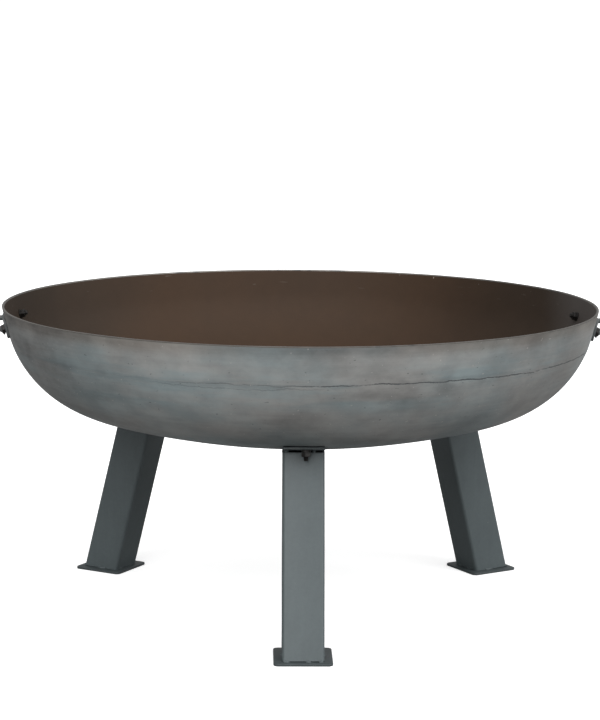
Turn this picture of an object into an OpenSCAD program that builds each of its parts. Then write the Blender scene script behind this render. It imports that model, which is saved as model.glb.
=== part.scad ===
// Round fire bowl of pressed steel sheet on three splayed legs of square tube,
// with a U-shaped lifting handle on each side. Origin on the ground under the
// middle of the bowl, +Z up, the handles along X and one leg towards -Y.

/* [Bowl] */
// Outside diameter at the rim
bowl_d = 762; // [740:2:790]
// Height of the rim above the ground
rim_z = 385; // [370:1:400]
// Thickness of the pressed sheet
sheet_t = 3; // [2:0.5:4]
// Lean of the straight wall away from vertical, in degrees
wall_slant = 14; // [12:0.5:16]
// Height of the straight wall below the rim
wall_h = 33; // [30:1:36]
// Outside radius of the knuckle between the wall and the dished bottom
knuckle_r = 139.5; // [135:0.5:144]
// Outside radius of the dished bottom
crown_r = 978; // [940:2:1020]

/* [Legs] */
// Outside width of the square tube
tube_w = 50; // [46:1:54]
// Wall thickness of the square tube
tube_t = 2; // [1.5:0.5:3]
// Outside corner radius of the square tube
tube_corner_r = 4; // [3:0.5:6]
// Splay of each leg from vertical, in degrees
leg_splay = 15; // [13:0.5:17]
// Slope of the bowl where a leg meets it, in degrees
seat_slope = 13.7; // [13:0.1:14.5]
// Gap left under the outer edge of the tube, bridged by weld
foot_gap = 0.8; // [0:0.1:1]

/* [Leg plates] */
// Length of the plate on top of a leg
seat_l = 90; // [88:1:96]
// Thickness of the plates on top of the legs and under them
plate_t = 3; // [2:0.5:4]
// Depth to which a top plate is coined to the curve of the bowl
coined_h = 0.15; // [0.1:0.05:0.2]
// Distance of each leg bolt from the leg's own axis
leg_bolt_reach = 35.5; // [34:0.5:37]
// Sideways offset of the leg bolts from the middle of the plate
leg_bolt_side = 2.5; // [0:0.5:4]
// Side of the square foot plate
foot_w = 70; // [66:1:80]
// Corner radius of the foot plate
foot_corner_r = 6; // [4:1:10]
// Inward shift of the foot plate from the leg's axis
foot_shift = 2; // [0:0.5:3]

/* [Handles] */
// Distance that a handle stands out beyond the rim
handle_reach = 50; // [46:1:60]
// Diameter of the handle's round bar
rod_d = 7; // [6:0.5:8]
// Distance between the middles of the two arms
arm_span = 104; // [96:1:108]
// Bend radius at the middle of the bar
bend_r = 20; // [16:1:24]
// Depth of the middle of the strip, and of its bolts, below the rim
handle_depth = 25; // [23:1:26]
// Drop of the bar below the middle of the strip
rod_drop = 3; // [0:1:5]
// Length of the curved strip, straight across
strip_l = 152; // [146:1:160]
// Height of the strip along the wall
strip_h = 25; // [22:1:28]
// Thickness of the strip
strip_t = 3; // [2.5:0.5:4]
// Corner radius at the ends of the strip
strip_corner_r = 7; // [4:1:9]
// Distance between the two handle bolts, straight across
handle_bolt_span = 128; // [125:1:132]

/* [Fasteners] */
// Thread diameter
bolt_d = 6; // [6:1:6]
// Diameter of the drilled clearance holes
hole_d = 7; // [6.6:0.2:7.4]
// Length of a leg bolt under its head
leg_bolt_l = 20; // [20:1:22]
// Length of a handle bolt under its head
handle_bolt_l = 16; // [16:1:18]
// Size of nuts and bolt heads across the flats
hex_af = 10; // [10:1:10]
// Height of a bolt head
head_h = 4; // [3.5:0.1:4.5]
// Height of a nut
nut_h = 5.2; // [5:0.1:5.5]
// Outside diameter of a flat washer
washer_d = 12; // [11:0.5:12.5]
// Thickness of a flat or a spring washer
washer_t = 1.6; // [1.2:0.1:1.8]
// Outside diameter of a spring washer
spring_d = 11; // [10.5:0.1:11.5]

/* [Hidden] */
LEG_NAMES = ["front", "right", "left"];
LEG_ANGLES = [-90, 30, 150];
END_NAMES = ["outer", "inner"];
SIDE_NAMES = ["right", "left"];
PLACE_NAMES = ["front", "rear"];
LEG_PIECES = ["leg_tube", "leg_top_plate", "foot_plate"];
LEG_FIXINGS = ["leg_bolt", "leg_washer", "leg_spring_washer", "leg_nut"];
HANDLE_PIECES = ["handle_plate", "handle_rod"];
HANDLE_FIXINGS = ["handle_bolt", "handle_washer", "handle_nut"];

// Ends: +1 is the outer or rear one, -1 the inner or front one
OUT = 1;
IN = -1;
BIG = 600;
CUT = 20;
FINE = 180;
ROUND = 48;

// Bowl section, in radius and height from the middle of the rim
rim_r = bowl_d / 2;
wall_foot = [rim_r - wall_h * tan(wall_slant), -wall_h];
knuckle = wall_foot - knuckle_r * [cos(wall_slant), -sin(wall_slant)];
crown = [0, knuckle.y + sqrt(pow(crown_r - knuckle_r, 2) - pow(knuckle.x, 2))];
crown_half = asin(knuckle.x / (crown_r - knuckle_r));

// Where the axis of a leg meets the outside of the bowl
seat_r = crown_r * sin(seat_slope);
seat_z = rim_z + crown.y - crown_r * cos(seat_slope);
foot_r = seat_r + seat_z * tan(leg_splay);

// A bolt head stands square to the plate, so the rise of the dished sheet lifts it
hex_r = hex_af / 2 / cos(30);
head_lift = pow(norm([leg_bolt_reach + hex_r, leg_bolt_side + hex_r]), 2) / (2 * (crown_r - sheet_t));
under_plate = coined_h - plate_t;
spring_z = under_plate - 2 * washer_t;
leg_nut_z = spring_z - nut_h;

// The wall at the middle of a handle
wall_r = rim_r - handle_depth * tan(wall_slant);
strip_half_angle = asin(strip_l / 2 / (wall_r + strip_t)) + 1;
handle_bolt_angle = asin(handle_bolt_span / 2 / wall_r);
washer_sag = pow(washer_d / 2, 2) * cos(wall_slant) / (2 * (wall_r - sheet_t)) + 0.01;
bar_x = rim_r + handle_reach - rod_d / 2;

// Half a turn for the handle at the left
function turn(side) = side > 0 ? 0 : 180;

// ---------- Shared shapes ----------

module sector(a, b) {
    reach = 3 * BIG;
    polygon([[0, 0], reach * [cos(a), sin(a)], reach * [cos(b), sin(b)]]);
}

module round_square(w, l, r) {
    square([w - 2 * r, l], center = true);
    square([w, l - 2 * r], center = true);
    for (x = [-1, 1], y = [-1, 1])
        translate([x * (w / 2 - r), y * (l / 2 - r)])
            circle(r = r, $fn = ROUND);
}

module hexagon(h) {
    cylinder(r = hex_r, h = h, $fn = 6);
}

module hex_bolt(l) {
    hexagon(head_h);
    translate([0, 0, -l])
        cylinder(d = bolt_d, h = l, $fn = ROUND);
}

module ring(d_out, d_in, h) {
    difference() {
        cylinder(d = d_out, h = h, $fn = ROUND);
        translate([0, 0, -1])
            cylinder(d = d_in, h = h + 2, $fn = ROUND);
    }
}

module hex_nut() {
    difference() {
        hexagon(nut_h);
        translate([0, 0, -1])
            cylinder(d = bolt_d, h = nut_h + 2, $fn = ROUND);
    }
}

// ---------- Places ----------

// On the outside of the bowl above a leg, with +Z along the bowl's inward normal and +X outwards
module at_seat(leg) {
    rotate([0, 0, LEG_ANGLES[leg]])
        translate([seat_r, 0, seat_z])
            rotate([0, -seat_slope, 0])
                children();
}

module at_leg_bolt(leg, end) {
    at_seat(leg)
        translate([end * leg_bolt_reach, leg_bolt_side, 0])
            children();
}

// On the outside of the wall at a handle bolt, with +Z along the outward normal
module at_handle_bolt(side, place) {
    rotate([0, 0, side * place * handle_bolt_angle + turn(side)])
        translate([wall_r, 0, rim_z - handle_depth])
            rotate([0, 90 + wall_slant, 0])
                children();
}

module clearance_hole() {
    translate([0, 0, -CUT / 2])
        cylinder(d = hole_d, h = CUT, $fn = ROUND);
}

// ---------- Bowl ----------

// Half section of all that lies within the outside of the sheet, or within its inside when the
// whole thickness is taken off
module dish_section(off) {
    intersection() {
        translate([0, -BIG])
            square(BIG);
        union() {
            polygon([
                [knuckle.x, 0],
                wall_foot - off * [cos(wall_slant), -sin(wall_slant)],
                [rim_r - off / cos(wall_slant), 0]
            ]);
            translate(knuckle)
                circle(r = knuckle_r - off, $fn = 4 * FINE);
            intersection() {
                translate(crown)
                    circle(r = crown_r - off, $fn = 4 * FINE);
                translate(crown)
                    sector(-90, crown_half - 90);
            }
        }
    }
}

module sheet_section() {
    difference() {
        dish_section(0);
        dish_section(sheet_t);
    }
}

// The one pressed sheet is two nodes that meet face to face where the knuckle
// runs out into the dished bottom, so that the hollow stays open in collision
module bowl_wall() {
    color("dimgray")
        difference() {
            translate([0, 0, rim_z])
                rotate_extrude($fn = 2 * FINE)
                    difference() {
                        sheet_section();
                        translate(crown)
                            sector(-90, crown_half - 90);
                    }
            for (side = [-1, 1], place = [IN, OUT])
                at_handle_bolt(side, place) clearance_hole();
        }
}

module bowl_dish() {
    color("dimgray")
        difference() {
            translate([0, 0, rim_z])
                rotate_extrude($fn = 2 * FINE)
                    intersection() {
                        sheet_section();
                        translate(crown)
                            sector(-90, crown_half - 90);
                    }
            for (leg = [0:2], end = [IN, OUT])
                at_leg_bolt(leg, end) clearance_hole();
        }
}

// ---------- Legs ----------

module leg_tube(leg) {
    color("slategray")
        difference() {
            rotate([0, 0, LEG_ANGLES[leg]])
                translate([foot_r, 0, 0])
                    rotate([0, -leg_splay, 0])
                        translate([0, 0, -CUT])
                            linear_extrude(seat_z / cos(leg_splay) + 2 * CUT)
                                difference() {
                                    round_square(tube_w, tube_w, tube_corner_r);
                                    round_square(tube_w - 2 * tube_t, tube_w - 2 * tube_t, tube_corner_r - tube_t);
                                }
            // Mitred to the top plate
            at_seat(leg)
                translate([-BIG / 2, -BIG / 2, under_plate])
                    cube([BIG, BIG, BIG]);
            // Cut to stand on its inner edge, a little open at the outer one
            rotate([0, 0, LEG_ANGLES[leg]])
                translate([foot_r - tube_w / 2 / cos(leg_splay), 0, plate_t])
                    rotate([0, -atan(foot_gap / tube_w), 0])
                        translate([-BIG / 2, -BIG / 2, -BIG])
                            cube([BIG, BIG, BIG]);
        }
}

module leg_top_plate(leg) {
    color("slategray")
        difference() {
            at_seat(leg)
                translate([-seat_l / 2, -tube_w / 2, under_plate])
                    cube([seat_l, tube_w, plate_t]);
            at_seat(leg)
                translate([0, 0, crown_r])
                    sphere(r = crown_r, $fn = 4 * FINE);
            for (end = [IN, OUT])
                at_leg_bolt(leg, end) clearance_hole();
        }
}

module foot_plate(leg) {
    color("slategray")
        rotate([0, 0, LEG_ANGLES[leg]])
            translate([foot_r - foot_shift, 0, 0])
                linear_extrude(plate_t)
                    round_square(foot_w, foot_w, foot_corner_r);
}

// ---------- Leg fasteners ----------

module leg_bolt(leg, end) {
    color("black")
        at_leg_bolt(leg, end)
            translate([0, 0, sheet_t + head_lift])
                hex_bolt(leg_bolt_l);
}

module leg_washer(leg, end) {
    color("black")
        at_leg_bolt(leg, end)
            translate([0, 0, under_plate - washer_t])
                ring(washer_d, bolt_d + 0.4, washer_t);
}

module leg_spring_washer(leg, end) {
    color("black")
        at_leg_bolt(leg, end)
            translate([0, 0, spring_z])
                difference() {
                    ring(spring_d, bolt_d + 0.2, washer_t);
                    // The split of the coil
                    rotate([20, 0, 0])
                        translate([0, -0.4, -CUT / 2])
                            cube([spring_d, 0.8, CUT]);
                }
}

module leg_nut(leg, end) {
    color("black")
        at_leg_bolt(leg, end)
            translate([0, 0, leg_nut_z])
                hex_nut();
}

// ---------- Handles ----------

module strip_section() {
    along = [sin(wall_slant), cos(wall_slant)];
    out = strip_t * [cos(wall_slant), -sin(wall_slant)];
    middle = [wall_r, -handle_depth];
    top = middle + along * strip_h / 2;
    foot = middle - along * strip_h / 2;
    polygon([top, foot, foot + out, top + out]);
}

module handle_plate(side) {
    color("darkslategray")
        difference() {
            rotate([0, 0, turn(side)])
                intersection() {
                    translate([0, 0, rim_z])
                        rotate([0, 0, -strip_half_angle])
                            rotate_extrude(angle = 2 * strip_half_angle, $fn = 2 * FINE)
                                strip_section();
                    // Rounds the corners of both ends
                    translate([wall_r, 0, rim_z - handle_depth])
                        rotate([0, 90 + wall_slant, 0])
                            translate([0, 0, -3 * CUT / 2])
                                linear_extrude(2 * CUT)
                                    round_square(strip_h, strip_l, strip_corner_r);
                }
            for (place = [IN, OUT])
                at_handle_bolt(side, place) clearance_hole();
        }
}

// Everything inside the outside of the strip, about the height of the bar
module strip_cone() {
    face_r = wall_r - rod_drop * tan(wall_slant) + strip_t / cos(wall_slant);
    lean = CUT * tan(wall_slant);
    translate([0, 0, -CUT])
        cylinder(r1 = face_r - lean, r2 = face_r + lean, h = 2 * CUT, $fn = 4 * FINE);
}

// One arm, cut to the strip, with its bend and half of the bar
module half_rod() {
    difference() {
        translate([wall_r - CUT, arm_span / 2, 0])
            rotate([0, 90, 0])
                cylinder(d = rod_d, h = bar_x - bend_r - wall_r + CUT, $fn = ROUND);
        strip_cone();
    }
    translate([bar_x - bend_r, arm_span / 2 - bend_r, 0])
        rotate_extrude(angle = 90, $fn = FINE)
            translate([bend_r, 0])
                circle(d = rod_d, $fn = ROUND);
    translate([bar_x, 0, 0])
        rotate([-90, 0, 0])
            cylinder(d = rod_d, h = arm_span / 2 - bend_r, $fn = ROUND);
}

module handle_rod(side) {
    color("darkslategray")
        rotate([0, 0, turn(side)])
            translate([0, 0, rim_z - handle_depth - rod_drop]) {
                half_rod();
                mirror([0, 1, 0])
                    half_rod();
            }
}

// ---------- Handle fasteners ----------

module handle_bolt(side, place) {
    color("black")
        at_handle_bolt(side, place)
            translate([0, 0, strip_t])
                hex_bolt(handle_bolt_l);
}

module handle_washer(side, place) {
    color("black")
        at_handle_bolt(side, place)
            translate([0, 0, -sheet_t - washer_sag - washer_t])
                ring(washer_d, bolt_d + 0.4, washer_t);
}

module handle_nut(side, place) {
    color("black")
        at_handle_bolt(side, place)
            translate([0, 0, -sheet_t - washer_sag - washer_t - nut_h])
                hex_nut();
}

// ---------- The object ----------

bowl_wall();
bowl_dish();

for (leg = [0:2]) {
    name = LEG_NAMES[leg];
    leg_tube(leg);
    leg_top_plate(leg);
    foot_plate(leg);
    for (i = [0, 1]) {
        fixing = str(name, "_", END_NAMES[i]);
        end = [OUT, IN][i];
        leg_bolt(leg, end);
        leg_washer(leg, end);
        leg_spring_washer(leg, end);
        leg_nut(leg, end);
    }
}

for (s = [0, 1]) {
    name = SIDE_NAMES[s];
    side = [1, -1][s];
    handle_plate(side);
    handle_rod(side);
    for (i = [0, 1]) {
        fixing = str(name, "_", PLACE_NAMES[i]);
        place = [IN, OUT][i];
        handle_bolt(side, place);
        handle_washer(side, place);
        handle_nut(side, place);
    }
}
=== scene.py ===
import math

import bmesh
import bpy
from bpy.props import FloatProperty, FloatVectorProperty, IntProperty, PointerProperty
from mathutils import Matrix, Vector


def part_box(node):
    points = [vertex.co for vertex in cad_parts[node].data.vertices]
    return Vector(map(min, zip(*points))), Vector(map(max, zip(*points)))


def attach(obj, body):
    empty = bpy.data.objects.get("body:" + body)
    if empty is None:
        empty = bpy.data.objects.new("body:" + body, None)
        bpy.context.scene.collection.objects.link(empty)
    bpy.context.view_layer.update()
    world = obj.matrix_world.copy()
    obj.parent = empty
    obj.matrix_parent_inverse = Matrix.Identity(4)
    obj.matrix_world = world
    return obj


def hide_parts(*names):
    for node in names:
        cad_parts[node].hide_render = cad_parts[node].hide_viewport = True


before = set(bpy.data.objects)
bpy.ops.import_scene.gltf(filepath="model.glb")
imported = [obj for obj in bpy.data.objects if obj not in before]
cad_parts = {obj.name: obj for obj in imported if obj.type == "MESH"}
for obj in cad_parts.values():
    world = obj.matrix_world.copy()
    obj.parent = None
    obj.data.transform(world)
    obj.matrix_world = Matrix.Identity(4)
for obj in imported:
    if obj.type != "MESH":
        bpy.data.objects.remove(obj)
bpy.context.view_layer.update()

bl_info = {
    "name": "Fire Bowl",
    "version": (1, 0, 0),
    "blender": (4, 5, 0),
    "location": "View3D > Sidebar > Fire Bowl",
    "description": "Builds a steel fire bowl on three legs, with its finishes and a plain studio",
    "category": "Object",
}

BOWL_LOW, BOWL_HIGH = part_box("bowl_dish")[0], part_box("bowl_wall")[1]
RIM_RADIUS = BOWL_HIGH.x
RIM_HEIGHT = BOWL_HIGH.z
BOWL_DEPTH = RIM_HEIGHT - BOWL_LOW.z
ROD_LOW, ROD_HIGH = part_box("handle_rod_right")

# Directions of the legs and of the handles, in degrees round Z
LEG_ANGLES = {"front": -90, "right": 30, "left": 150}
HANDLE_ANGLES = {"right": 0, "left": 180}
# Degrees by which the nuts and spring washers of each leg are turned
NUT_TURNS = {"front": 200, "right": 200, "left": 183}
ENDS = {"outer": 1, "inner": -1}
PLACES = {"front": -1, "rear": 1}

MM = 0.001
MERGE = 1e-5
# How far the press line spreads to each side and how far it wanders
PRESS_REACH = 12 * MM
PRESS_WANDER = 3 * MM
# The plates' paint beside that of the tubes, darkened as painted shade so that their tops look less
# lit
PLATE_PAINTED_SHADE = 0.62
# The floor: its size, its drop below the feet, its own glow and what it throws back up
FLOOR_RADIUS = 30
FLOOR_DROP = 0.2 * MM
FLOOR_GLOW = 0.72
FLOOR_BOUNCE = (0.3, 0.3, 0.3)
# Strength of the white that the camera sees beyond the floor
BACKDROP = 1.1


# ---------------------------------------------------------------- sizes and colours


def in_mm(name, description, size):
    return FloatProperty(name=name, description=description, default=size * MM, unit="LENGTH")


def in_radians(name, description, size):
    return FloatProperty(name=name, description=description, default=size, subtype="ANGLE")


def in_degrees(name, description, size):
    return in_radians(name, description, math.radians(size))


def as_colour(name, description, value):
    return FloatVectorProperty(name=name, description=description, default=value, subtype="COLOR")


def as_strength(name, description, value):
    return FloatProperty(name=name, description=description, default=value)


class BowlSizes(bpy.types.PropertyGroup):
    sheet: in_mm("Sheet", "Thickness of the pressed sheet", 3)
    wall_slant: in_degrees("Wall slant", "Lean of the straight wall away from vertical", 14)
    wall_height: in_mm("Wall height", "Height of the straight wall below the rim", 33)
    knuckle_radius: in_mm(
        "Knuckle radius", "Outside radius between the wall and the dished bottom", 139.5
    )
    crease_depth: in_mm("Crease depth", "Depth below the rim of the press line round the bowl", 47)
    crease_groove: in_mm("Crease groove", "How far the press line sinks into the sheet", 0.15)
    unevenness: in_mm("Unevenness", "Slight waves that pressing leaves in the sheet", 0.5)
    segments: IntProperty(
        name="Segments", description="Facets round the bowl", default=288, min=48
    )


class LegSizes(bpy.types.PropertyGroup):
    tube: in_mm("Tube", "Outside width of the square tube", 50)
    tube_wall: in_mm("Tube wall", "Wall thickness of the tube", 2)
    tube_corner: in_mm("Tube corner", "Outside corner radius of the tube", 4)
    splay: in_degrees("Splay", "Lean of a leg from vertical", 15)
    seat_slope: in_degrees("Seat slope", "Slope of the bowl where a leg meets it", 13.7)
    foot_gap: in_mm("Foot gap", "Gap under the outer edge of the tube", 0.8)
    seat_gap: in_mm("Seat gap", "Gap between the outer edge of the tube and its top plate", 2.6)
    seat_length: in_mm("Seat length", "Length of the plate on top of a leg", 90)
    plate: in_mm("Plate", "Thickness of the leg plates", 3)
    coin: in_mm("Coin", "Depth to which a top plate is coined", 0.15)
    foot: in_mm("Foot", "Side of the square foot plate", 70)
    foot_corner: in_mm("Foot corner", "Corner radius of the foot plate", 6)
    foot_shift: in_mm("Foot shift", "Inward shift of the foot plate from the leg's axis", 2)


class HandleSizes(bpy.types.PropertyGroup):
    rod: in_mm("Bar", "Diameter of the round bar", 7)
    arm_span: in_mm("Arm span", "Distance between the middles of the arms", 104)
    bend: in_mm("Bend", "Bend radius at the middle of the bar", 20)
    depth: in_mm("Depth", "Depth of the strip and its bolts below the rim", 25)
    rod_drop: in_mm("Bar drop", "Drop of the bar below the middle of the strip", 3)
    strip_length: in_mm("Strip length", "Length of the strip, straight across", 152)
    strip_height: in_mm("Strip height", "Height of the strip along the wall", 25)
    strip: in_mm("Strip", "Thickness of the strip", 3)
    strip_corner: in_mm("Strip corner", "Corner radius at the ends of the strip", 7)
    bolt_span: in_mm("Bolt span", "Distance between the two handle bolts", 128)


class FixingSizes(bpy.types.PropertyGroup):
    thread: in_mm("Thread", "Diameter of the threads", 6)
    pitch: in_mm("Pitch", "Distance from one turn of the thread to the next", 1)
    across_flats: in_mm("Across flats", "Size of nuts and bolt heads", 10)
    head: in_mm("Head", "Height of a bolt head", 4)
    nut: in_mm("Nut", "Height of a nut", 5.2)
    washer: in_mm("Washer", "Outside diameter of a flat washer", 12)
    spring_washer: in_mm("Spring washer", "Outside diameter of a spring washer", 11)
    washer_thickness: in_mm("Washer thickness", "Thickness of a washer", 1.6)
    leg_bolt: in_mm("Leg bolt", "Length of a leg bolt under its head", 20)
    leg_reach: in_mm("Leg bolt reach", "Distance of a leg bolt from the leg's axis", 35.5)
    leg_side: in_mm("Leg bolt side", "Sideways offset of the leg bolts", 2.5)
    handle_bolt: in_mm("Handle bolt", "Length of a handle bolt under its head", 16)


class Colours(bpy.types.PropertyGroup):
    steel_cool: as_colour(
        "Cool steel", "Blue-grey clouds of the bare steel", (0.232, 0.274, 0.282)
    )
    steel_warm: as_colour("Warm steel", "Warmer grey of the bare steel", (0.312, 0.309, 0.299))
    steel_band: as_colour("Steel band", "Brown tint under the rim", (0.33, 0.287, 0.245))
    # Dark steel also colours the painted shade of the press line
    steel_dark: as_colour(
        "Dark steel", "Scale left in the press line and dark specks", (0.06, 0.07, 0.075)
    )
    steel_inside: as_colour(
        "Inside", "Brown oiled steel inside the bowl", (0.047, 0.026, 0.014)
    )
    steel_edge: as_colour("Cut edge", "Cut edge of the sheet at the rim", (0.175, 0.165, 0.152))
    leg_paint: as_colour("Leg paint", "Dark blue-grey paint of the legs", (0.089, 0.109, 0.114))
    handle_paint: as_colour("Handle paint", "Grey paint of the handles", (0.1, 0.108, 0.11))
    fixing_black: as_colour(
        "Fixing black", "Blacked nuts, bolts and washers", (0.014, 0.0125, 0.0115)
    )


class StudioSizes(bpy.types.PropertyGroup):
    camera_place: FloatVectorProperty(
        name="Camera place",
        description="Where the camera stands",
        default=(-0.0594, -2.8442, 0.7530),
        subtype="TRANSLATION",
    )
    camera_turn: in_radians("Camera turn", "Turn of the camera to its right", 0.0209)
    camera_dip: in_radians("Camera dip", "Tilt of the camera below the horizon", 0.15412)
    camera_roll: in_radians("Camera roll", "Roll of the camera", 0.0080)
    lens: FloatProperty(
        name="Lens", description="Focal length of the camera", default=111.5, unit="CAMERA"
    )
    sky: as_strength("Room", "Strength of the even white light from all round", 0.34)
    left_light: as_strength("Left light", "Strength of the soft light from the left", 1.5)
    right_light: as_strength("Right light", "Strength of the soft light from the right", 1.45)
    side_light: as_strength("Side light", "Strength of the soft light from beside", 0.55)
    top_light: as_strength("Top light", "Strength of the soft light from above", 0.75)
    floor_colour: as_colour("Floor", "Pale colour of the floor", (0.86, 0.86, 0.86))


GROUPS = {
    "fire_bowl_sheet": BowlSizes,
    "fire_bowl_legs": LegSizes,
    "fire_bowl_handles": HandleSizes,
    "fire_bowl_fixings": FixingSizes,
    "fire_bowl_colours": Colours,
    "fire_bowl_studio": StudioSizes,
}


def sizes(name):
    """The user's settings for one part of the model."""
    return getattr(bpy.context.scene, "fire_bowl_" + name)


# ---------------------------------------------------------------- working on a mesh


def clear_bench():
    """Leaves edit mode and deselects everything."""
    if bpy.context.mode != "OBJECT":
        bpy.ops.object.mode_set(mode="OBJECT")
    bpy.ops.object.select_all(action="DESELECT")


def take(*pieces):
    """Selects these pieces alone, the first one active."""
    clear_bench()
    for piece in pieces:
        piece.select_set(True)
    bpy.context.view_layer.objects.active = pieces[0]


def edit(piece):
    take(piece)
    bpy.ops.object.mode_set(mode="EDIT")


def choose(kind, test):
    """Selects the vertices, edges or faces of the piece in edit mode that pass the test."""
    bpy.ops.mesh.select_mode(type=kind)
    bpy.ops.mesh.select_all(action="DESELECT")
    mesh = bmesh.from_edit_mesh(bpy.context.object.data)
    for part in {"VERT": mesh.verts, "EDGE": mesh.edges, "FACE": mesh.faces}[kind]:
        part.select_set(bool(test(part)))
    mesh.select_flush_mode()
    bmesh.update_edit_mesh(bpy.context.object.data)


def edge_line(edge):
    return (edge.verts[1].co - edge.verts[0].co).normalized()


def edge_middle(edge):
    return (edge.verts[0].co + edge.verts[1].co) / 2


def block(name, size, centre=(0, 0, 0)):
    """A box of that size, with its place in its mesh."""
    clear_bench()
    bpy.ops.mesh.primitive_cube_add(size=1, location=centre, scale=size)
    bpy.context.object.name = name
    bpy.ops.object.transform_apply(location=True, rotation=True, scale=True)
    return bpy.context.object


def draw_line(name, points, closed=False):
    """A line of vertices, each extruded from the one before. Stays in edit mode, all selected."""
    clear_bench()
    bpy.ops.mesh.primitive_plane_add(size=MM, location=(0, 0, 0))
    bpy.context.object.name = name
    bpy.ops.object.mode_set(mode="EDIT")
    bpy.ops.mesh.select_mode(type="VERT")
    bpy.ops.mesh.merge(type="CENTER")
    bpy.ops.transform.translate(value=points[0])
    for before, after in zip(points, points[1:]):
        step = Vector(after) - Vector(before)
        bpy.ops.mesh.extrude_vertices_move(TRANSFORM_OT_translate={"value": step})
    bpy.ops.mesh.select_all(action="SELECT")
    if closed:
        bpy.ops.mesh.edge_face_add()
        bpy.ops.mesh.delete(type="ONLY_FACE")
        bpy.ops.mesh.select_all(action="SELECT")
    return bpy.context.object


def tidy_mesh():
    """In edit mode: merges doubles, closes open ends and turns the faces outwards."""
    bpy.ops.mesh.select_mode(type="VERT")
    bpy.ops.mesh.select_all(action="SELECT")
    bpy.ops.mesh.remove_doubles(threshold=MERGE)
    bpy.ops.mesh.fill_holes(sides=0)
    bpy.ops.mesh.select_all(action="SELECT")
    bpy.ops.mesh.normals_make_consistent(inside=False)


def spin(steps, turn, centre=(0, 0, 0)):
    """In edit mode: spins the selected line round an upright axis."""
    bpy.ops.mesh.spin(steps=steps, angle=turn, center=centre, axis=(0, 0, 1))


def turn_on_lathe(name, points, steps, closed=False):
    """A line of (radius, height) points spun all the way round the Z axis."""
    piece = draw_line(name, [(r, 0, z) for r, z in points], closed)
    spin(steps, 2 * math.pi)
    tidy_mesh()
    bpy.ops.object.mode_set(mode="OBJECT")
    return piece


def modify(piece, kind, **settings):
    """Adds a modifier and applies it."""
    take(piece)
    bpy.ops.object.modifier_add(type=kind)
    modifier = piece.modifiers[-1]
    for name, value in settings.items():
        setattr(modifier, name, value)
    bpy.ops.object.modifier_apply(modifier=modifier.name)


def round_edges(piece, width, segments=2, angle=35):
    """Rounds the edges that turn by more than that angle, in degrees."""
    modify(
        piece,
        "BEVEL",
        width=width,
        segments=segments,
        limit_method="ANGLE",
        angle_limit=math.radians(angle),
    )


def round_upright_edges(piece, radius, segments):
    """Rounds the edges that run along Z. Stays in edit mode."""
    edit(piece)
    choose("EDGE", lambda edge: abs(edge_line(edge).z) > 0.9)
    bpy.ops.mesh.bevel(offset=radius, segments=segments, affect="EDGES")


def roughen(piece, texture_name, scale, depth, **settings):
    """Moves the skin in and out by noise of that scale and depth."""
    texture = bpy.data.textures.new(texture_name, "CLOUDS")
    texture.noise_scale = scale
    texture.noise_depth = 2
    modify(
        piece,
        "DISPLACE",
        texture=texture,
        texture_coords="LOCAL",
        strength=depth,
        mid_level=0.5,
        **settings,
    )


def place(piece, matrix):
    """Moves the piece there and applies the move to its mesh."""
    take(piece)
    piece.matrix_world = matrix
    bpy.ops.object.transform_apply(location=True, rotation=True, scale=True)
    return piece


def copy_to(master, name, matrix):
    """A copy with a mesh of its own, at that place."""
    take(master)
    bpy.ops.object.duplicate(linked=False)
    piece = bpy.context.object
    piece.name = name
    return place(piece, matrix)


def discard(*pieces):
    take(*pieces)
    bpy.ops.object.delete()


def smooth(piece, angle=35):
    take(piece)
    bpy.ops.object.shade_smooth_by_angle(angle=math.radians(angle))


def hand_over(piece, slot, nodes, *finishes):
    """Gives the piece its finishes and its body, and hides the CAD nodes that it stands for."""
    piece.data.name = piece.name
    if finishes:
        piece.data.materials.clear()
        for finish in finishes:
            piece.data.materials.append(finish)
    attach(piece, "root")
    if nodes:
        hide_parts(*nodes)


def spread(master, name, node, turns, slot, finish):
    """A copy at each turn round Z for the CAD node of that place, if any. Uses up the master."""
    for where, turn in turns.items():
        piece = copy_to(master, f"{name}_{where}", turned(turn))
        hand_over(piece, slot, [f"{node}_{where}"] if node else [], finish)
    discard(master)


# ---------------------------------------------------------------- where things are


def bowl_circles():
    """Middles (radius, height) and radii of the knuckle and of the dished bottom."""
    bowl = sizes("sheet")
    lean = math.tan(bowl.wall_slant)
    normal = Vector((math.cos(bowl.wall_slant), -math.sin(bowl.wall_slant)))
    foot = Vector((RIM_RADIUS - bowl.wall_height * lean, RIM_HEIGHT - bowl.wall_height))
    knuckle = foot - normal * bowl.knuckle_radius
    across, up = knuckle.x, knuckle.y - RIM_HEIGHT
    left = BOWL_DEPTH - bowl.knuckle_radius
    rise = (across**2 + up**2 - left**2) / (2 * (left + up))
    crown = Vector((0, RIM_HEIGHT + rise))
    return knuckle, crown, rise + BOWL_DEPTH


def leg_seat():
    """Radius and height at which the axis of a leg meets the bowl, and its radius on the ground."""
    leg = sizes("legs")
    crown, radius = bowl_circles()[1:]
    seat_r = radius * math.sin(leg.seat_slope)
    seat_z = crown.y - radius * math.cos(leg.seat_slope)
    return seat_r, seat_z, seat_r + seat_z * math.tan(leg.splay)


def turned(degrees):
    return Matrix.Rotation(math.radians(degrees), 4, "Z")


def at_seat():
    """On the bowl above a leg that points along X: Z goes into the bowl, X outwards."""
    seat_r, seat_z = leg_seat()[:2]
    return Matrix.Translation((seat_r, 0, seat_z)) @ Matrix.Rotation(
        -sizes("legs").seat_slope, 4, "Y"
    )


def at_leg_bolt(leg, end):
    fixing = sizes("fixings")
    return (
        turned(LEG_ANGLES[leg])
        @ at_seat()
        @ Matrix.Translation((ENDS[end] * fixing.leg_reach, fixing.leg_side, 0))
    )


def wall_radius():
    """Outside radius of the bowl at the middle of a handle strip."""
    return RIM_RADIUS - sizes("handles").depth * math.tan(sizes("sheet").wall_slant)


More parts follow.
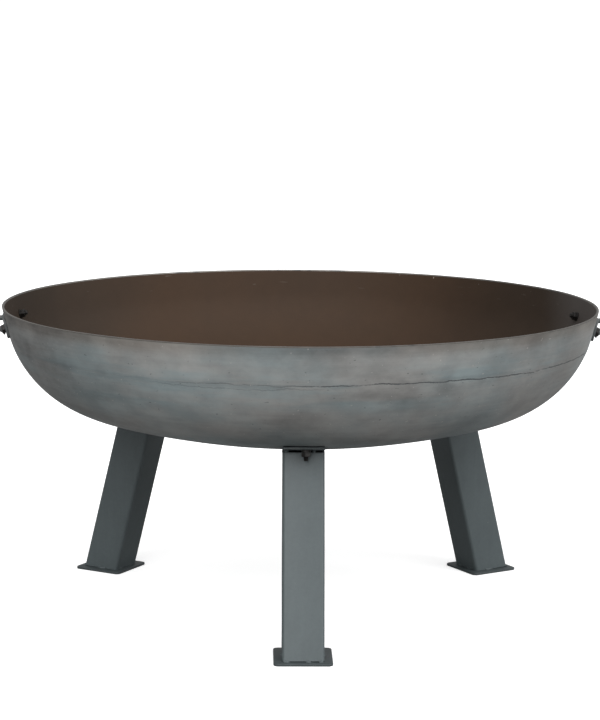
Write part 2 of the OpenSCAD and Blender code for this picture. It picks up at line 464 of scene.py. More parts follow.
def at_handle_bolt(side, end):
    """On the outside of the wall at a handle bolt, with Z along the outward normal."""
    handle = sizes("handles")
    angle = math.asin(handle.bolt_span / 2 / wall_radius())
    turn = PLACES[end] * angle
    return (
        Matrix.Rotation(turn if side == "right" else math.pi - turn, 4, "Z")
        @ Matrix.Translation((wall_radius(), 0, RIM_HEIGHT - handle.depth))
        @ Matrix.Rotation(math.pi / 2 + sizes("sheet").wall_slant, 4, "Y")
    )


# ---------------------------------------------------------------- finishes


class Wire:
    """One value of a material. Sums and products of wires add Math nodes."""

    def __init__(self, finish, socket):
        self.finish, self.socket = finish, socket

    def maths(self, operation, *values):
        return self.finish.add("ShaderNodeMath", {"operation": operation}, dict(enumerate(values)))

    def __add__(self, other):
        return self.maths("ADD", self, other)

    def __radd__(self, other):
        return self.maths("ADD", other, self)

    def __sub__(self, other):
        return self.maths("SUBTRACT", self, other)

    def __rsub__(self, other):
        return self.maths("SUBTRACT", other, self)

    def __mul__(self, other):
        return self.maths("MULTIPLY", self, other)

    def __rmul__(self, other):
        return self.maths("MULTIPLY", other, self)

    def __abs__(self):
        return self.maths("ABSOLUTE", self)


class Finish:
    """A material made of nodes."""

    def __init__(self, name):
        self.material = bpy.data.materials.new(name)
        self.material.use_nodes = True
        self.tree = self.material.node_tree
        self.tree.nodes.clear()
        self.spot = self.add("ShaderNodeTexCoord", out="Object")

    def add(self, kind, settings=None, inputs=None, out=0):
        """Adds a node of that type with its settings, then its sockets' values or wires."""
        node = self.tree.nodes.new(kind)
        for name, value in (settings or {}).items():
            setattr(node, name, value)
        for name, value in (inputs or {}).items():
            socket = node.inputs[name]
            if isinstance(value, Wire):
                self.tree.links.new(value.socket, socket)
            elif socket.type == "RGBA":
                socket.default_value = (*value[:3], 1)
            else:
                socket.default_value = value
        return Wire(self, node.outputs[out])

    def axis(self, name):
        return self.add("ShaderNodeSeparateXYZ", None, {0: self.spot}, out=name)

    def measure(self, name):
        """A number that the mesh carries at each point."""
        return self.add("ShaderNodeAttribute", {"attribute_name": name}, out="Fac")

    def stretched(self, x, y, z):
        """Places in the mesh with each axis multiplied, which squeezes a pattern along it."""
        return self.add(
            "ShaderNodeVectorMath", {"operation": "MULTIPLY"}, {0: self.spot, 1: (x, y, z)}
        )

    def clouds(self, scale, detail=3, rough=0.5, vector=None):
        """Noise from 0 to 1, about 1 / scale metres across."""
        return self.add(
            "ShaderNodeTexNoise",
            None,
            {"Vector": vector or self.spot, "Scale": scale, "Detail": detail, "Roughness": rough},
        )

    def rise(self, value, low, high):
        """0 below low and 1 above high, with a smooth step between them."""
        return self.add(
            "ShaderNodeMapRange",
            {"interpolation_type": "SMOOTHSTEP"},
            {0: value, 1: low, 2: high},
        )

    def fall(self, value, low, high):
        """1 below low and 0 above high."""
        return 1 - self.rise(value, low, high)

    def blend(self, amount, under, over, how="MIX"):
        """Two colours mixed by the amount of the second."""
        return self.add(
            "ShaderNodeMix",
            {"data_type": "RGBA", "blend_type": how},
            {0: amount, 6: under, 7: over},
            out=2,
        )

    def shaded(self, colour, shade):
        """The colour multiplied by a number."""
        grey = self.add("ShaderNodeCombineColor", None, {0: shade, 1: shade, 2: shade})
        return self.blend(1.0, colour, grey, "MULTIPLY")

    def relief(self, height, depth, strength):
        return self.add(
            "ShaderNodeBump", None, {"Height": height, "Distance": depth, "Strength": strength}
        )

    def done(self, colour, rough, metal, normal, **settings):
        """Ends in a shader. Other settings are plain numbers of that shader."""
        inputs = {"Base Color": colour, "Roughness": rough, "Metallic": metal, "Normal": normal}
        inputs.update({name.replace("_", " "): value for name, value in settings.items()})
        return self.end(self.add("ShaderNodeBsdfPrincipled", None, inputs))

    def end(self, shader):
        output = self.tree.nodes.new("ShaderNodeOutputMaterial")
        self.tree.links.new(shader.socket, output.inputs["Surface"])
        return self.material


def steel_outside():
    """Bare hot-rolled steel: blue-grey and warm clouds, brush streaks and a dark press line."""
    f, c, bowl = Finish("bowl_steel_outside"), sizes("colours"), sizes("sheet")
    depth, across = f.measure("depth"), f.axis("X")
    left = 0 - across
    below_line = depth - bowl.crease_depth
    streaks = f.clouds(1, 5, 0.7, f.stretched(8, 8, 240))
    wipes = f.clouds(1, 4, 0.6, f.stretched(5, 5, 46))
    patches = f.clouds(24, 5, 0.62)
    large = f.clouds(5.2, 4, 0.55, f.stretched(1, 1, 1.6))
    # Blue-grey clouds, fewer at the left end and more about the press line
    near_line = f.fall(abs(below_line - 7 * MM), 10 * MM, 40 * MM)
    cool = f.rise(large, 0.36, 0.6) * (0.85 - f.rise(left, 0.24, 0.33) * 0.65)
    cool = cool + near_line * f.rise(wipes, 0.42, 0.6) * 0.6
    colour = f.blend(cool, c.steel_warm, c.steel_cool)
    mottle = f.rise(f.clouds(14, 5, 0.65, f.stretched(1, 1, 1.5)), 0.3, 0.7)
    shade = 0.42 + streaks * 0.24 + patches * 0.36 + wipes * 0.42 + mottle * 0.28
    # Dark under the rim and in soft smudges about the press line. Towards the bottom the steel gets
    # painted shade, deeper in the smudges
    band = f.fall(depth + patches * 9 * MM, 8 * MM, 24 * MM)
    smudge = f.rise(f.clouds(8, 4, 0.6, f.stretched(1, 1, 2.2)), 0.5, 0.68)
    # Painted shade of the underside, growing with depth below the rim
    low = f.rise(depth, 45 * MM, 135 * MM)
    shade = shade - band * (0.34 + patches * 0.14 - f.rise(abs(across), 0.05, 0.16) * 0.12)
    shade = shade - smudge * near_line * 0.26 - low * 0.3 - smudge * low * 0.1
    # Painted shade at the left end and in a stripe on the right, and a painted highlight in a
    # stripe on the left
    shade = shade - f.rise(left, 0.22, 0.34) * 0.42
    shade = shade - f.rise(across, 0.22, 0.29) * f.fall(across, 0.31, 0.36) * 0.12
    shade = shade + f.rise(left, 0.02, 0.1) * f.fall(left, 0.14, 0.26) * 0.2
    colour = f.blend(band * f.rise(abs(across), 0.02, 0.2) * 0.5, colour, c.steel_band)
    colour = f.shaded(colour, shade)
    # The dark press line is painted shade of the shallow crease. It wanders and breaks up, and
    # fades towards the left
    from_line = abs(below_line + (f.clouds(21, 6, 0.72) - 0.5) * (9 * MM))
    strong = f.rise(across, -0.04, 0.03) * 0.5 + f.rise(across, -0.19, -0.12) * 0.35
    broken = f.rise(f.clouds(52, 5, 0.75), 0.3, 0.5)
    width = 0.7 * MM + patches * 0.9 * MM
    line = f.fall(from_line, 0.2 * MM, width) * broken * strong
    # A fainter second line of painted crease shade runs beside it for a short way
    other = f.clouds(16, 6, 0.7, f.stretched(1, 1, 0.5))
    apart = below_line - 4 * MM + (other - 0.5) * (16 * MM)
    side = f.rise(across, -0.2, -0.15) * f.fall(across, -0.02, 0.04)
    line = line + f.fall(abs(apart), 0.2 * MM, 1 * MM) * side * broken * 0.3
    # The steel is also darker in patches close beside the line
    near_line_darkening = f.fall(from_line, 1 * MM, 7 * MM) * f.rise(wipes, 0.4, 0.6)
    colour = f.blend(near_line_darkening * 0.2, colour, c.steel_dark)
    colour = f.blend(line, colour, c.steel_dark)
    # Small light flecks and dark specks
    flecks = f.rise(f.clouds(310, 1, 0.4), 0.75, 0.79)
    colour = f.blend(flecks * 0.55, colour, (0.55, 0.52, 0.49))
    specks = f.rise(f.clouds(170, 2, 0.5, f.stretched(1, 1, 1.7)), 0.7, 0.76)
    colour = f.blend(specks * 0.5, colour, c.steel_dark)
    rough = 0.44 + patches * 0.16 - streaks * 0.1 + line * 0.2
    grain = streaks * 0.5 + f.clouds(520, 3, 0.6) * 0.35 - line * 0.9 + patches * 0.6
    return f.done(colour, rough, 0.3, f.relief(grain, 0.5 * MM, 0.4))


def steel_inside():
    """Oiled brown steel, greyer towards the sides, with pale scuffs near the rim."""
    f, c = Finish("bowl_steel_inside"), sizes("colours")
    depth = f.measure("depth")
    brown = f.clouds(7, 4, 0.6)
    side = f.rise(abs(f.axis("X")), 0.16, 0.37)
    colour = f.blend(side * 0.6, c.steel_inside, (0.033, 0.027, 0.021))
    right = f.rise(f.axis("X"), 0.33, 0.375)
    colour = f.blend(right * 0.8, colour, (0.1, 0.09, 0.084))
    shade = 0.6 + brown * 0.6 + f.clouds(60, 4, 0.7) * 0.2
    colour = f.shaded(colour, shade)
    scratch = f.rise(f.clouds(1, 3, 0.6, f.stretched(36, 36, 300)), 0.68, 0.74)
    near_rim = f.fall(depth, 6 * MM, 40 * MM)
    colour = f.blend(scratch * near_rim * 0.35, colour, (0.2, 0.18, 0.16))
    scuffs = f.rise(f.clouds(150, 2, 0.5), 0.74, 0.78) * f.fall(depth, 3 * MM, 16 * MM)
    colour = f.blend(scuffs * 0.8, colour, (0.42, 0.38, 0.34))
    normal = f.relief(f.clouds(300, 3, 0.6) + brown * 2, 0.4 * MM, 0.3)
    return f.done(colour, 0.56 + brown * 0.16, 0.3, normal, Specular_IOR_Level=0.32)


def steel_edge():
    """Cut edge of the sheet, rubbed a little brighter."""
    f, c = Finish("bowl_steel_edge"), sizes("colours")
    shade = 0.72 + f.clouds(90, 4, 0.7) * 0.56
    colour = f.shaded(c.steel_edge, shade)
    dark = f.rise(f.clouds(35, 3, 0.6), 0.56, 0.7)
    colour = f.blend(dark * 0.55, colour, c.steel_dark)
    normal = f.relief(f.clouds(700, 3), 0.3 * MM, 0.4)
    return f.done(colour, 0.42 + dark * 0.2, 0.6, normal)


def paint(name, colour):
    """Satin paint with a slight orange peel, faint mottle and a few rubbed specks."""
    f = Finish(name)
    mottle = f.clouds(22, 4, 0.6)
    peel = f.clouds(420, 2, 0.5)
    streaks = f.clouds(1, 3, 0.6, f.stretched(140, 140, 10))
    grit = f.clouds(230, 3, 0.8)
    shade = 0.68 + mottle * 0.24 + streaks * 0.16 + grit * 0.24
    tint = f.shaded(colour, shade)
    rubbed = f.rise(f.clouds(120, 3, 0.6), 0.72, 0.77)
    tint = f.blend(rubbed * 0.25, tint, (0.3, 0.31, 0.32))
    normal = f.relief(peel + mottle, 0.25 * MM, 0.3)
    return f.done(tint, 0.37 + mottle * 0.14, 0.0, normal)


def weld_paint(name, colour):
    """The same paint over a weld, with painted shade in the hollows of its ripples."""
    f = Finish(name)
    lumps = f.clouds(260, 3, 0.6)
    # Painted shade, deepest where the ripples' relief is lowest
    shade = 0.6 + lumps * 0.6
    tint = f.shaded(colour, shade)
    normal = f.relief(lumps, 0.5 * MM, 0.5)
    return f.done(tint, 0.45 + lumps * 0.1, 0.0, normal)


def black_oxide():
    """Blacked steel, with a little wear on it."""
    f, c = Finish("black_fixings"), sizes("colours")
    worn = f.rise(f.clouds(240, 3, 0.6), 0.56, 0.74)
    colour = f.blend(worn * 0.5, c.fixing_black, (0.05, 0.05, 0.052))
    normal = f.relief(f.clouds(900, 2), 0.15 * MM, 0.4)
    return f.done(colour, 0.4 + worn * 0.2, 0.35, normal)


def floor_paint():
    """A pale floor that shows soft shadows and throws little light back up."""
    f, white = Finish("studio_floor"), sizes("studio").floor_colour
    shown = f.add("ShaderNodeBsdfDiffuse", None, {"Color": white})
    glow = f.add("ShaderNodeEmission", None, {"Color": white, "Strength": FLOOR_GLOW})
    seen = f.add("ShaderNodeAddShader", None, {0: shown, 1: glow})
    dull = f.add("ShaderNodeBsdfDiffuse", None, {"Color": FLOOR_BOUNCE})
    camera = f.add("ShaderNodeLightPath", out="Is Camera Ray")
    return f.end(f.add("ShaderNodeMixShader", None, {0: camera, 1: dull, 2: seen}))


# ---------------------------------------------------------------- bowl


def on_circle(middle, radius, degrees):
    turn = math.radians(degrees)
    return middle.x + radius * math.cos(turn), middle.y + radius * math.sin(turn)


def arc(middle, radius, start, end, steps):
    """Points round a middle, from one angle to another, in degrees."""
    return [
        on_circle(middle, radius, start + (end - start) * i / steps) for i in range(steps + 1)
    ]


def bowl_line(off, crease=False):
    """Section of one face of the sheet, from just under the rim to the middle."""
    bowl = sizes("sheet")
    knuckle, crown, crown_radius = bowl_circles()
    slant = math.degrees(bowl.wall_slant)
    crown_edge = -90 + math.degrees(math.asin(knuckle.x / (crown_radius - bowl.knuckle_radius)))
    radius = bowl.knuckle_radius - off
    foot = on_circle(knuckle, radius, -slant)
    under_rim = 1.5 * MM
    top = (
        RIM_RADIUS - off / math.cos(bowl.wall_slant) - under_rim * math.tan(bowl.wall_slant),
        RIM_HEIGHT - under_rim,
    )
    wall = [
        (top[0] + (foot[0] - top[0]) * i / 5, top[1] + (foot[1] - top[1]) * i / 5) for i in range(5)
    ]
    if crease:
        middle = -math.degrees(
            math.asin((bowl.crease_depth + knuckle.y - RIM_HEIGHT) / bowl.knuckle_radius)
        )
        # A quarter of the width of the press line, as an angle
        width = math.degrees(0.9 * MM / bowl.knuckle_radius)
        above = arc(knuckle, radius, -slant, middle + 2 * width, 3)
        groove = [
            on_circle(knuckle, radius - bowl.crease_groove * sink, middle - turn * width)
            for turn, sink in ((-1, 0.2), (0, 1), (1, 0.2))
        ]
        below = arc(knuckle, radius, middle - 2 * width, crown_edge, 28)
        bend = above + groove + below
    else:
        bend = arc(knuckle, radius, -slant, crown_edge, 32)
    dish = arc(crown, crown_radius - off, crown_edge, -90, 26)[1:]
    return wall + bend + dish


class FIREBOWL_OT_bowl(bpy.types.Operator):
    """Spins the pressed sheet bowl from its section"""

    bl_idname = "fire_bowl.bowl"
    bl_label = "Bowl"

    def execute(self, context):
        bowl = sizes("sheet")
        outside = bowl_line(0, crease=True)
        inside = bowl_line(bowl.sheet)
        edge = 0.8 * MM
        lean = math.tan(bowl.wall_slant)
        inner = RIM_RADIUS - bowl.sheet / math.cos(bowl.wall_slant)
        rim = [
            (RIM_RADIUS - edge * lean, RIM_HEIGHT - edge),
            (RIM_RADIUS - edge * 0.35, RIM_HEIGHT - edge * 0.3),
            (RIM_RADIUS - edge, RIM_HEIGHT),
            (inner + edge * 0.8, RIM_HEIGHT),
            (inner + edge * 0.2, RIM_HEIGHT - edge * 0.3),
            (inner - edge * lean, RIM_HEIGHT - edge),
        ]
        piece = turn_on_lathe("fire_bowl", outside[::-1] + rim + inside, bowl.segments)
        depth = piece.data.attributes.new("depth", "FLOAT", "POINT")
        depth.data.foreach_set("value", [RIM_HEIGHT - v.co.z for v in piece.data.vertices])
        for finish in (steel_outside(), steel_inside(), steel_edge()):
            piece.data.materials.append(finish)
        edit(piece)
        choose("FACE", lambda face: face.normal.z > 0)
        piece.active_material_index = 1
        bpy.ops.object.material_slot_assign()
        choose("FACE", lambda face: face.calc_center_median().z > RIM_HEIGHT - edge * 1.9)
        piece.active_material_index = 2
        bpy.ops.object.material_slot_assign()
        bpy.ops.object.mode_set(mode="OBJECT")
        # The press line wanders up and down, and the whole sheet is slightly uneven
        near = piece.vertex_groups.new(name="press_line")
        for vertex in piece.data.vertices:
            gap = abs(RIM_HEIGHT - vertex.co.z - bowl.crease_depth) / PRESS_REACH
            if gap < 1:
                near.add([vertex.index], (1 - gap**2) ** 2, "REPLACE")
        line = {"direction": "Z", "vertex_group": near.name}
        roughen(piece, "press_line", 45 * MM, PRESS_WANDER, **line)
        roughen(piece, "uneven_sheet", 110 * MM, bowl.unevenness)
        smooth(piece, 50)
        hand_over(piece, "bowl_steel", ["bowl_wall", "bowl_dish"])
        return {"FINISHED"}


# ---------------------------------------------------------------- legs


class FIREBOWL_OT_leg_tubes(bpy.types.Operator):
    """Cuts one square tube to the bowl and the ground, and copies it for each leg"""

    bl_idname = "fire_bowl.leg_tubes"
    bl_label = "Leg Tubes"

    def execute(self, context):
        leg = sizes("legs")
        seat_z, foot_r = leg_seat()[1:]
        spare = 20 * MM
        length = seat_z / math.cos(leg.splay) + 2 * spare
        tube = block("leg_tube", (leg.tube, leg.tube, length), (0, 0, length / 2 - spare))
        round_upright_edges(tube, leg.tube_corner, 6)
        choose("FACE", lambda face: abs(face.normal.z) > 0.9)
        bpy.ops.mesh.delete(type="FACE")
        modify(tube, "SOLIDIFY", thickness=leg.tube_wall, offset=-1, use_even_offset=True)
        place(tube, Matrix.Translation((foot_r, 0, 0)) @ Matrix.Rotation(-leg.splay, 4, "Y"))
        seat = at_seat()
        edit(tube)
        bpy.ops.mesh.select_all(action="SELECT")
        bpy.ops.mesh.bisect(
            plane_co=seat @ Vector((-leg.tube / 2, 0, leg.coin - leg.plate)),
            plane_no=seat.to_3x3() @ Vector((leg.seat_gap, 0, leg.tube)),
            use_fill=True,
            clear_outer=True,
        )
        bpy.ops.mesh.select_all(action="SELECT")
        open_angle = math.atan(leg.foot_gap / leg.tube)
        bpy.ops.mesh.bisect(
            plane_co=(foot_r - leg.tube / 2 / math.cos(leg.splay), 0, leg.plate),
            plane_no=(-math.sin(open_angle), 0, math.cos(open_angle)),
            use_fill=True,
            clear_inner=True,
        )
        tidy_mesh()
        round_edges(tube, 0.3 * MM, 1, 50)
        smooth(tube)
        finish = paint("leg_paint", sizes("colours").leg_paint)
        spread(tube, "tube", "leg_tube", LEG_ANGLES, "leg_paint", finish)
        return {"FINISHED"}


class FIREBOWL_OT_leg_plates(bpy.types.Operator):
    """Makes the plate on top of each leg and the square plate under it"""

    bl_idname = "fire_bowl.leg_plates"
    bl_label = "Leg Plates"

    def execute(self, context):
        leg = sizes("legs")
        foot_r = leg_seat()[2]
        top = block(
            "top_plate", (leg.seat_length, leg.tube, leg.plate), (0, 0, leg.coin - leg.plate / 2)
        )
        round_upright_edges(top, 1 * MM, 3)
        round_edges(top, 0.4 * MM)
        place(top, at_seat())
        foot = block(
            "foot", (leg.foot, leg.foot, leg.plate), (foot_r - leg.foot_shift, 0, leg.plate / 2)
        )
        round_upright_edges(foot, leg.foot_corner, 8)
        round_edges(foot, 0.5 * MM)
        # The plates take the tubes' paint darkened as painted shade
        finish = paint("plate_paint_painted_shade", [part * PLATE_PAINTED_SHADE for part in sizes("colours").leg_paint])
        for master, node in ((top, "leg_top_plate"), (foot, "foot_plate")):
            smooth(master)
            spread(master, master.name, node, LEG_ANGLES, "leg_paint", finish)
        return {"FINISHED"}


# ---------------------------------------------------------------- handles


class FIREBOWL_OT_handle_strips(bpy.types.Operator):
    """Bends the strip that holds each handle to the wall of the bowl"""

    bl_idname = "fire_bowl.handle_strips"
    bl_label = "Handle Strips"

    def execute(self, context):
        handle, slant = sizes("handles"), sizes("sheet").wall_slant
        half = math.asin(handle.strip_length / 2 / (wall_radius() + handle.strip))
        along = Vector((math.sin(slant), math.cos(slant))) * handle.strip_height / 2
        out = Vector((math.cos(slant), -math.sin(slant))) * handle.strip
        middle = Vector((wall_radius(), RIM_HEIGHT - handle.depth))
        corners = [middle + along, middle - along, middle - along + out, middle + along + out]
        strip = draw_line(
            "strip",
            [(r * math.cos(half), -r * math.sin(half), z) for r, z in corners],
            closed=True,
        )
        spin(16, -2 * half)
        tidy_mesh()
        reach = handle.strip_length / 2 - 2 * MM

        def at_corner(edge):
            point, line = edge_middle(edge), edge_line(edge)
            radial = Vector((point.x, point.y, 0)).normalized()
            return abs(point.y) > reach and abs(line.dot(radial)) > 0.9

        choose("EDGE", at_corner)
        bpy.ops.mesh.bevel(offset=handle.strip_corner, segments=7, affect="EDGES")
        round_edges(strip, 0.4 * MM, 2, 50)
        smooth(strip)
        finish = paint("handle_strip_paint", sizes("colours").handle_paint)
        spread(strip, "strip", "handle_plate", HANDLE_ANGLES, "handle_paint", finish)
        return {"FINISHED"}


class FIREBOWL_OT_handle_bars(bpy.types.Operator):
    """Bends the round bar of each handle"""

    bl_idname = "fire_bowl.handle_bars"
    bl_label = "Handle Bars"

    def execute(self, context):
        handle = sizes("handles")
        height = RIM_HEIGHT - handle.depth - handle.rod_drop
        far = ROD_HIGH.x - handle.rod / 2
        near = ROD_LOW.x - 1 * MM
        side = handle.arm_span / 2
        clear_bench()
        bpy.ops.mesh.primitive_circle_add(
            vertices=24,
            radius=handle.rod / 2,
            location=(near, side, height),
            rotation=(0, math.pi / 2, 0),
        )
        bar = bpy.context.object
        bar.name = "bar"
        bpy.ops.object.transform_apply(location=True, rotation=True, scale=True)
        edit(bar)
        bpy.ops.mesh.select_all(action="SELECT")
        run = far - handle.bend - near

        def push(x, y):
            bpy.ops.mesh.extrude_edges_move(TRANSFORM_OT_translate={"value": (x, y, 0)})

        def bend(y):
            spin(14, math.pi / 2, (far - handle.bend, y, height))

        push(run, 0)
        bend(side - handle.bend)
        push(0, -2 * (side - handle.bend))
        bend(handle.bend - side)
        push(-run, 0)
        tidy_mesh()
        smooth(bar)
        finish = paint("handle_bar_paint", sizes("colours").handle_paint)
        spread(bar, "bar", "handle_rod", HANDLE_ANGLES, "handle_paint", finish)
        return {"FINISHED"}


# ---------------------------------------------------------------- fixings


def hex_corner():
    """Distance of a corner of a nut or bolt head from its middle."""
    return sizes("fixings").across_flats / 2 / math.cos(math.pi / 6)


def hexagon(name, height, both_ends):
    """A six-sided block from z = 0 up, with its corners turned off at one or both ends."""
    corner = hex_corner()
    clear_bench()
    bpy.ops.mesh.primitive_cylinder_add(
        vertices=6, radius=corner, depth=height, location=(0, 0, height / 2)
    )
    piece = bpy.context.object
    piece.name = name
    bpy.ops.object.transform_apply(location=True, rotation=True, scale=True)
    # The round flat left on top, and the drop of the turned corners below it
    top = sizes("fixings").across_flats * 0.48
    drop = (corner - top) * math.tan(math.radians(30))
    foot = [(top, 0), (corner, drop)] if both_ends else [(corner + 0.1 * MM, 0)]
    turned_blank = turn_on_lathe(
        "blank",
        [(0, 0)] + foot + [(corner + 0.001 * MM, height - drop), (top, height), (0, height)],
        48,
    )
    modify(piece, "BOOLEAN", operation="INTERSECT", object=turned_blank, solver="EXACT")
    discard(turned_blank)
    return piece


def thread_line(length):
    """Section of a threaded shank that hangs from z = 0, from its end up."""
    fixing = sizes("fixings")
    radius, pitch = fixing.thread / 2, fixing.pitch
    root = radius - 0.55 * pitch
    points = [(0, -length), (root - 0.1 * MM, -length)]
    turn = 0.5 * pitch
    while turn < length - 1.5 * pitch:
        points += [(radius, turn - length + 0.1 * pitch), (root, turn - length + 0.55 * pitch)]
        turn += pitch
    return points + [(radius, turn - length), (radius, 0.2 * MM), (0, 0.2 * MM)]


def hex_bolt(name, length):
    """A bolt with its head above z = 0 and its threaded shank below."""
    head = hexagon(name, sizes("fixings").head, both_ends=False)
    shank = turn_on_lathe("shank", thread_line(length), 32)
    take(head, shank)
    bpy.ops.object.join()
    smooth(head, 30)
    return head


def hex_nut(name):
    """A nut from z = 0 up, with a countersunk threaded hole."""
    fixing = sizes("fixings")
    nut = hexagon(name, fixing.nut, both_ends=True)
    radius = fixing.thread / 2
    drill = turn_on_lathe(
        "drill",
        [
            (0, -1 * MM),
            (radius + 1.2 * MM, -1 * MM),
            (radius + 0.2 * MM, 0.1 * MM),
            (radius - 0.15 * MM, 0.6 * MM),
            (radius - 0.15 * MM, fixing.nut - 0.6 * MM),
            (radius + 0.2 * MM, fixing.nut - 0.1 * MM),
            (radius + 1.2 * MM, fixing.nut + 1 * MM),
            (0, fixing.nut + 1 * MM),
        ],
        32,
    )
    modify(nut, "BOOLEAN", operation="DIFFERENCE", object=drill, solver="EXACT")
    discard(drill)
    smooth(nut, 30)
    return nut


def washer(name):
    """A flat washer from z = 0 up, with rounded outer edges."""
    fixing = sizes("fixings")
    thick, edge = fixing.washer_thickness, 0.3 * MM
    outer, hole = fixing.washer / 2, fixing.thread / 2 + 0.2 * MM
    line = [
        (hole, 0),
        (outer - edge, 0),
        (outer, edge),
        (outer, thick - edge),
        (outer - edge, thick),
        (hole, thick),
    ]
    piece = turn_on_lathe(name, line, 40, closed=True)
    smooth(piece, 40)
    return piece


def spring_washer(name):
    """A split washer from z = 0 up, its two ends sprung slightly apart."""
    fixing = sizes("fixings")
    outer, hole = fixing.spring_washer / 2, fixing.thread / 2 + 0.1 * MM
    sprung = 0.25 * MM
    height = fixing.washer_thickness - sprung
    line = [(hole, 0, 0), (outer, 0, 0), (outer, 0, height), (hole, 0, height)]
    piece = draw_line(name, line, closed=True)
    modify(
        piece,
        "SCREW",
        angle=math.radians(350),
        screw_offset=sprung,
        steps=40,
        render_steps=40,
        use_merge_vertices=False,
    )
    edit(piece)
    tidy_mesh()
    round_edges(piece, 0.15 * MM, 1, 50)
    smooth(piece, 40)
    return piece


def raised(height):
    return Matrix.Translation((0, 0, height))


class FIREBOWL_OT_leg_fixings(bpy.types.Operator):
    """Bolts the legs to the bowl: bolts, flat and spring washers and nuts"""

    bl_idname = "fire_bowl.leg_fixings"
    bl_label = "Leg Fixings"

    def execute(self, context):
        leg, fixing = sizes("legs"), sizes("fixings")
        # A bolt head stands clear of the curved sheet at its farthest corner
        corner = hex_corner()
        reach = Vector((fixing.leg_reach + corner, fixing.leg_side + corner)).length
        inside_radius = bowl_circles()[2] - sizes("sheet").sheet
        head_z = sizes("sheet").sheet + reach**2 / (2 * inside_radius)
        washer_z = leg.coin - leg.plate - fixing.washer_thickness
        spring_z = washer_z - fixing.washer_thickness
        masters = {
            "leg_bolt": (hex_bolt("bolt", fixing.leg_bolt), head_z),
            "leg_washer": (washer("washer"), washer_z),
            "leg_spring_washer": (spring_washer("spring"), spring_z),
            "leg_nut": (hex_nut("nut"), spring_z - fixing.nut),
        }
        finish = black_oxide()
        for node, (master, height) in masters.items():
            for name in LEG_ANGLES:
                for end in ENDS:
                    where = at_leg_bolt(name, end) @ raised(height)
                    if node in ("leg_nut", "leg_spring_washer"):
                        where = where @ turned(NUT_TURNS[name])
                    piece = copy_to(master, f"{node[4:]}_{name}_{end}", where)
                    hand_over(piece, "black_fixings", [f"{node}_{name}_{end}"], finish)
            discard(master)
        return {"FINISHED"}


class FIREBOWL_OT_handle_fixings(bpy.types.Operator):
    """Bolts the handles to the bowl: bolts, washers and nuts"""

    bl_idname = "fire_bowl.handle_fixings"
    bl_label = "Handle Fixings"

    def execute(self, context):
        handle, fixing, bowl = sizes("handles"), sizes("fixings"), sizes("sheet")
        sag = (fixing.washer / 2) ** 2 * math.cos(bowl.wall_slant)
        sag = sag / (2 * (wall_radius() - bowl.sheet)) + 0.01 * MM
        washer_z = -bowl.sheet - sag - fixing.washer_thickness
        masters = {
            "handle_bolt": (hex_bolt("bolt", fixing.handle_bolt), handle.strip),
            "handle_washer": (washer("washer"), washer_z),
            "handle_nut": (hex_nut("nut"), washer_z - fixing.nut),
        }
        finish = black_oxide()
        for node, (master, height) in masters.items():
            for side in HANDLE_ANGLES:
                for end in PLACES:
                    where = at_handle_bolt(side, end) @ raised(height)
                    piece = copy_to(master, f"{node}_piece_{side}_{end}", where)
                    hand_over(piece, "black_fixings", [f"{node}_{side}_{end}"], finish)
            discard(master)
        return {"FINISHED"}


# ---------------------------------------------------------------- welds


def weld_bead(length):
    """A short rippled weld along X, made of overlapping drops."""
    width, height = 4.2 * MM, 1.9 * MM
    drops = max(3, round(length / (width * 0.42)))
    made = []
    for i in range(drops):
        clear_bench()
        swell = 1 - 0.28 * abs(2 * i / (drops - 1) - 1)
        bpy.ops.mesh.primitive_uv_sphere_add(
            segments=20,
            ring_count=12,
            radius=0.5,
            location=((i / (drops - 1) - 0.5) * (length - width), 0, 0),
            scale=(width * swell, width * swell, height * 2 * swell),
        )
        made.append(bpy.context.object)
    take(*made)
    bpy.ops.object.join()
    bead = bpy.context.object
    bpy.ops.object.transform_apply(location=True, rotation=True, scale=True)
    modify(bead, "REMESH", mode="VOXEL", voxel_size=0.45 * MM)
    roughen(bead, "weld_lumps", 4 * MM, 0.9 * MM)
    smooth(bead, 80)
    return bead


class FIREBOWL_OT_leg_welds(bpy.types.Operator):
    """Tacks each tube to its two plates with short welds"""

    bl_idname = "fire_bowl.leg_welds"
    bl_label = "Leg Welds"

    def execute(self, context):
        leg = sizes("legs")
        half = leg.tube / 2
        finish = weld_paint("weld_paint", sizes("colours").leg_paint)
        foot_half = half / math.cos(leg.splay)
        # Each weld's middle along and across the plate, its length and its turn in degrees
        foot_tacks = [
            (foot_half, -half + 5 * MM, 9 * MM, 90),
            (foot_half, 6 * MM, 8 * MM, 90),
            (foot_half, half - 4 * MM, 7 * MM, 90),
            (-6 * MM, -half, 13 * MM, 0),
            (-4 * MM, half, 13 * MM, 0),
            (-foot_half, -8 * MM, 12 * MM, 90),
            (-foot_half, 12 * MM, 10 * MM, 90),
        ]
        top_tacks = [
            (half - 0.2 * MM, -half + 4.5 * MM, 7 * MM, 90),
            (half - 0.2 * MM, 12.5 * MM, 6 * MM, 90),
            (2 * MM, -half + 1.5 * MM, 14 * MM, 0),
            (0, half - 1.5 * MM, 14 * MM, 0),
            (-half - 0.3 * MM, -4 * MM, 13 * MM, 90),
        ]
        to_foot = Matrix.Translation((leg_seat()[2], 0, leg.plate + 0.5 * MM))
        to_top = at_seat() @ Matrix.Translation((0, 0, leg.coin - leg.plate - 0.6 * MM))
        for group, base, tacks in (("foot", to_foot, foot_tacks), ("top", to_top, top_tacks)):
            made = []
            for x, y, length, turn in tacks:
                spot = base @ Matrix.Translation((x, y, 0)) @ turned(turn)
                made.append(place(weld_bead(length), spot))
            take(*made)
            bpy.ops.object.join()
            name = group + "_welds"
            spread(bpy.context.object, name, None, LEG_ANGLES, "leg_paint", finish)
        return {"FINISHED"}


